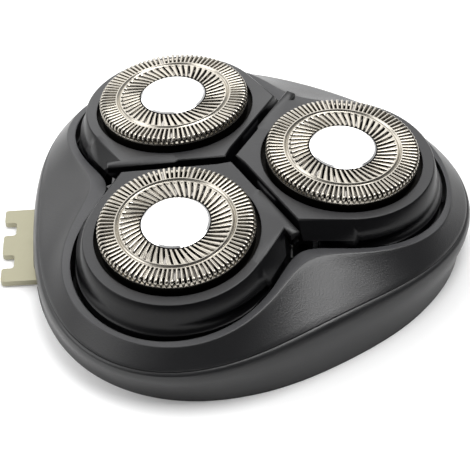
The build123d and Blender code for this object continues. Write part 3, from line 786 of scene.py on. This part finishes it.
crease_line = tuple(v - CREASE_LINE for v in CREASE[:4]) + CREASE[4:]
rings = [wall_ring(CREASE_LEVEL * k / WALL_ROWS) for k in range(WALL_ROWS + 1)]
rings.append(crease_line)
rings += rounded_corner(crease_line, CREASE, RIM_OUTER, CREASE_RADIUS)
rings += [blend(CREASE, RIM_OUTER, k / SHOULDER_ROWS) for k in range(1, SHOULDER_ROWS)]
rings += rounded_corner(CREASE, RIM_OUTER, RIM_INNER, RIM_RADIUS)
lip_from = len(rings) - LIP_ROWS_OF_ROUND
rings.append(blend(RIM_OUTER, RIM_INNER, LIP_BEND))
rings.append(RIM_INNER)
print("rings:", len(rings), "of which the lip starts at", lip_from)

# %% [markdown]
# A CAD node's mesh is loose triangles, so a copy of it is merged into a closed shell first.
# Every face of that copy whose middle lies near the skin belongs to the old bands and goes.
# What stays is the inside of the housing, with its ledges and the slot of the hinge.

# %% Copy of the solid without its bands
MERGE_MM = 0.001
SKIN_NEAR = 0.45


def merged_copy(node):
    """A bmesh of a CAD node's triangles, joined into closed shells, in millimetres."""
    shape = bmesh.new()
    shape.from_mesh(frame["nodes"][node].data)
    shape.transform(Matrix.Scale(1 / MM, 4))
    bmesh.ops.remove_doubles(shape, verts=shape.verts, dist=MERGE_MM)
    bmesh.ops.recalc_face_normals(shape, faces=shape.faces)
    return shape


def off_skin(point):
    """Distance of a point from the skin, in the half plane through the axis."""
    angle = math.atan2(point.y, point.x)
    section = [Vector(ring_place(ring, angle)) for ring in rings]
    place = Vector((math.hypot(point.x, point.y), point.z))
    nearest = math.inf
    for start, end in zip(section, section[1:]):
        along = (end - start).normalized()
        reach = min(max((place - start).dot(along), 0), (end - start).length)
        nearest = min(nearest, (place - start - along * reach).length)
    return nearest


shell = merged_copy("housing")
old = [face for face in shell.faces if off_skin(face.calc_center_median()) < SKIN_NEAR]
bmesh.ops.delete(shell, geom=old, context="FACES")
print("bands taken off:", len(old), "faces; left:", len(shell.faces))

# %% [markdown]
# The skin has a row of points for each ring and a face between every two neighbours. The
# faces of the lip get the second material. At the back the wall is cut along the edges of the
# hinge's slot, and the faces inside the slot are taken out.

# %% The skin and its slot
SHELL_ANGLE = math.radians(24)
SKIN_STEPS = 288
SLOT_HALF = 8.8
SLOT_TOP = 4.6
SLOT_FROM = -20.0

skin = bmesh.new()
rows = []
for ring in rings:
    row = []
    for i in range(SKIN_STEPS):
        angle = 2 * math.pi * i / SKIN_STEPS
        radius, height = ring_place(ring, angle)
        row.append(skin.verts.new((radius * math.cos(angle), radius * math.sin(angle), height)))
    rows.append(row)
for place, (low, high) in enumerate(zip(rows, rows[1:])):
    for i in range(SKIN_STEPS):
        k = (i + 1) % SKIN_STEPS
        face = skin.faces.new((low[i], low[k], high[k], high[i]))
        face.material_index = int(place >= lip_from)

slot_edges = (
    ((0, SLOT_HALF, 0), (0, 1, 0)),
    ((0, -SLOT_HALF, 0), (0, 1, 0)),
    ((0, 0, SLOT_TOP), (0, 0, 1)),
)
for place, direction in slot_edges:
    back = [face for face in skin.faces if face.calc_center_median().x < SLOT_FROM]
    edges = {edge for face in back for edge in face.edges}
    verts = {vert for face in back for vert in face.verts}
    bmesh.ops.bisect_plane(
        skin, geom=[*verts, *edges, *back], plane_co=place, plane_no=direction, dist=MERGE_MM
    )
slot = []
for face in skin.faces:
    middle = face.calc_center_median()
    if middle.x < SLOT_FROM and abs(middle.y) < SLOT_HALF and middle.z < SLOT_TOP:
        slot.append(face)
bmesh.ops.delete(skin, geom=slot, context="FACES")

skin_mesh = bpy.data.meshes.new("skin")
skin.to_mesh(skin_mesh)
skin.free()
shell.from_mesh(skin_mesh)
shell.transform(Matrix.Scale(MM, 4))
housing = placed("moulded_housing", shell, [abs_housing, abs_lip_painted_sheen], SHELL_ANGLE)
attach(housing, "housing")
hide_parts("housing")
print(housing.name, len(housing.data.polygons), "faces")

# %% [markdown]
# A carrier is a shallow moulded frame whose skirt swells below its flat face. CAD gives it a
# straight skirt, so a copy is cut at two levels and the outer edge of each cut moves outwards.
# Beside the gaps it slides along the joint between two heads, so the gap keeps its width.
# On the outer side the upper swell fades out, because the skirt is straight there. The outer
# edge of a skirt is an arc about a point that lies a little outside the head's axis, and the
# joint between two heads leans by 30 degrees, whose tangent is the slide.

# %% Carriers
# Level in the head's frame, swell, and how much of the swell is lost on the outer side
SWELLS = ((-5.2, 0.85, 1.0), (-7.2, 0.3, 0.0))
SIDE_SLIDE = 0.577
SLIDE_FADE = 4
OUTSIDE_R = 15.0
CARRIER_OUT = 0.3

for number in range(1, HEADS + 1):
    shape = merged_copy(f"carrier_{number}")
    to_head = head_matrix(number).inverted() @ Matrix.Scale(MM, 4)
    shape.transform(to_head)
    moved = 0
    for level, at_sides, fade in SWELLS:
        cut = bmesh.ops.bisect_plane(
            shape, geom=shape.verts[:] + shape.edges[:] + shape.faces[:],
            plane_co=(0, 0, level), plane_no=(0, 0, 1), dist=MERGE_MM,
        )
        for vert in (v for v in cut["geom_cut"] if isinstance(v, bmesh.types.BMVert)):
            x, y = vert.co.x - CARRIER_OUT, vert.co.y
            if x <= 0 and abs(y) > OUTSIDE_R:
                vert.co.y += math.copysign(at_sides, y)
                vert.co.x += at_sides * SIDE_SLIDE
                moved += 1
            elif x > 0 and math.hypot(x, y) > OUTSIDE_R:
                share = x / math.hypot(x, y)
                swell = at_sides * max(0, 1 - fade * share)
                slide = at_sides * SIDE_SLIDE * max(0, 1 - SLIDE_FADE * share)
                vert.co.x += swell * share + slide
                vert.co.y += swell * y / math.hypot(x, y)
                moved += 1
    shape.transform(head_matrix(number))
    carrier = placed(f"moulded_carrier_{number}", shape, [abs_carrier], SHELL_ANGLE)
    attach(carrier, f"carrier_{number}")
    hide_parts(f"carrier_{number}")
    print(carrier.name, len(carrier.data.polygons), "faces", moved, "points moved")

# %% [markdown]
# The head lies on a white table. The table is lit a little from within for the camera and in
# reflections, so that it looks white there. That glow fades out in a round patch near and under
# the head, set a little to its right and front, which is a painted shadow: it deepens the soft
# contact shadow and leaves the inside of the head dark.

# %% Table
FLOOR_HALF = 1.5
FLOOR_Z = CAD_BOX[0][2] - 0.05 * MM
# Middle and radii of the painted shadow, where the table's glow fades out
SHADOW_MIDDLE = (0.013, -0.011, 0.0)
SHADOW_IN = 0.026
SHADOW_OUT = 0.055
FLOOR_GLOW = 0.25

floor_material, floor_tree, floor_shader = new_material(
    "white_table",
    {"Base Color": linear("#f4f4f4"), "Roughness": 0.7, "Emission Color": linear("#ffffff")},
)
rays = add_node(floor_tree, "ShaderNodeLightPath").outputs
here = add_node(floor_tree, "ShaderNodeTexCoord").outputs["Object"]
seen = add_node(
    floor_tree,
    "ShaderNodeMath",
    {0: rays["Is Camera Ray"], 1: rays["Is Glossy Ray"]},
    operation="MAXIMUM",
)
away = add_node(
    floor_tree,
    "ShaderNodeVectorMath",
    {0: here, 1: SHADOW_MIDDLE},
    operation="DISTANCE",
)
# The glow is withheld round SHADOW_MIDDLE, which paints a shadow round the head
open_floor = add_node(
    floor_tree,
    "ShaderNodeMapRange",
    {"Value": away.outputs["Value"], "From Min": SHADOW_IN, "From Max": SHADOW_OUT,
     "To Max": FLOOR_GLOW},
)
glow = add_node(
    floor_tree,
    "ShaderNodeMath",
    {0: seen.outputs[0], 1: open_floor.outputs["Result"]},
    operation="MULTIPLY",
)
floor_tree.links.new(glow.outputs[0], floor_shader.inputs["Emission Strength"])

floor_mesh = bpy.data.meshes.new("table")
floor_mesh.from_pydata(
    [(-FLOOR_HALF, -FLOOR_HALF, FLOOR_Z), (FLOOR_HALF, -FLOOR_HALF, FLOOR_Z),
     (FLOOR_HALF, FLOOR_HALF, FLOOR_Z), (-FLOOR_HALF, FLOOR_HALF, FLOOR_Z)],
    [],
    [(0, 1, 2, 3)],
)
floor_mesh.materials.append(floor_material)
table = bpy.data.objects.new("table", floor_mesh)
bpy.context.scene.collection.objects.link(table)
print("table at z =", round(FLOOR_Z / MM, 3), "mm")

# %% [markdown]
# The room is bright on the window's side, behind the head and to its left, and darker on the
# camera's side, so the front of the housing stays nearly black. The camera sees plain white.

# %% Room
WINDOW_SIDE = (-0.55, 0.835, 0.0)
ROOM_FROM = (-0.5, 0.6)
ROOM_LIGHT = (0.1, 0.8)
SEEN_LIGHT = 1.0

world = bpy.data.worlds.new("bright_room")
world.use_nodes = True
bpy.context.scene.world = world
sky = world.node_tree
sky.nodes.clear()
sky_rays = add_node(sky, "ShaderNodeLightPath").outputs
direction = add_node(sky, "ShaderNodeTexCoord").outputs["Generated"]
to_window = add_node(
    sky, "ShaderNodeVectorMath", {0: direction, 1: WINDOW_SIDE}, operation="DOT_PRODUCT"
)
room = add_node(
    sky,
    "ShaderNodeMapRange",
    {"Value": to_window.outputs["Value"], "From Min": ROOM_FROM[0], "From Max": ROOM_FROM[1],
     "To Min": ROOM_LIGHT[0], "To Max": ROOM_LIGHT[1]},
)
white = linear("#ffffff")
seen_white = add_node(sky, "ShaderNodeBackground", {"Color": white, "Strength": SEEN_LIGHT})
room_light = add_node(
    sky, "ShaderNodeBackground", {"Color": white, "Strength": room.outputs["Result"]}
)
either = add_node(
    sky,
    "ShaderNodeMixShader",
    {0: sky_rays["Is Camera Ray"], 1: room_light.outputs[0], 2: seen_white.outputs[0]},
)
add_node(sky, "ShaderNodeOutputWorld", {"Surface": either.outputs[0]})
print("room light from", ROOM_LIGHT[0], "to", ROOM_LIGHT[1])

# %% [markdown]
# Three softboxes light the head. A square one hangs overhead, a little to the right, and
# gives the glow on the front of the housing. A weaker one fills in from the left. A wide one
# stands behind as a window, and brightens the guards and the top edges of the plastic.

# %% Lamps
LAMP_TARGET = Vector((0, 0, 0.01))

# Name, place and size in metres, power in watts
LAMPS = (
    ("overhead", (0.15, 0.02, 0.5), (0.34, 0.34), 2.4),
    ("left_fill", (-0.5, -0.05, 0.42), (0.4, 0.4), 1.2),
    ("back_window", (-0.4, 1.0, 0.75), (1.8, 0.9), 7.6),
)

for name, place, size, power in LAMPS:
    data = bpy.data.lights.new(name, "AREA")
    data.shape = "RECTANGLE"
    data.size, data.size_y = size
    data.energy = power
    lamp = bpy.data.objects.new(name, data)
    bpy.context.scene.collection.objects.link(lamp)
    facing = (LAMP_TARGET - Vector(place)).to_track_quat("-Z", "Y")
    lamp.matrix_world = Matrix.Translation(place) @ facing.to_matrix().to_4x4()
    print("lamp:", lamp.name, power, "W")
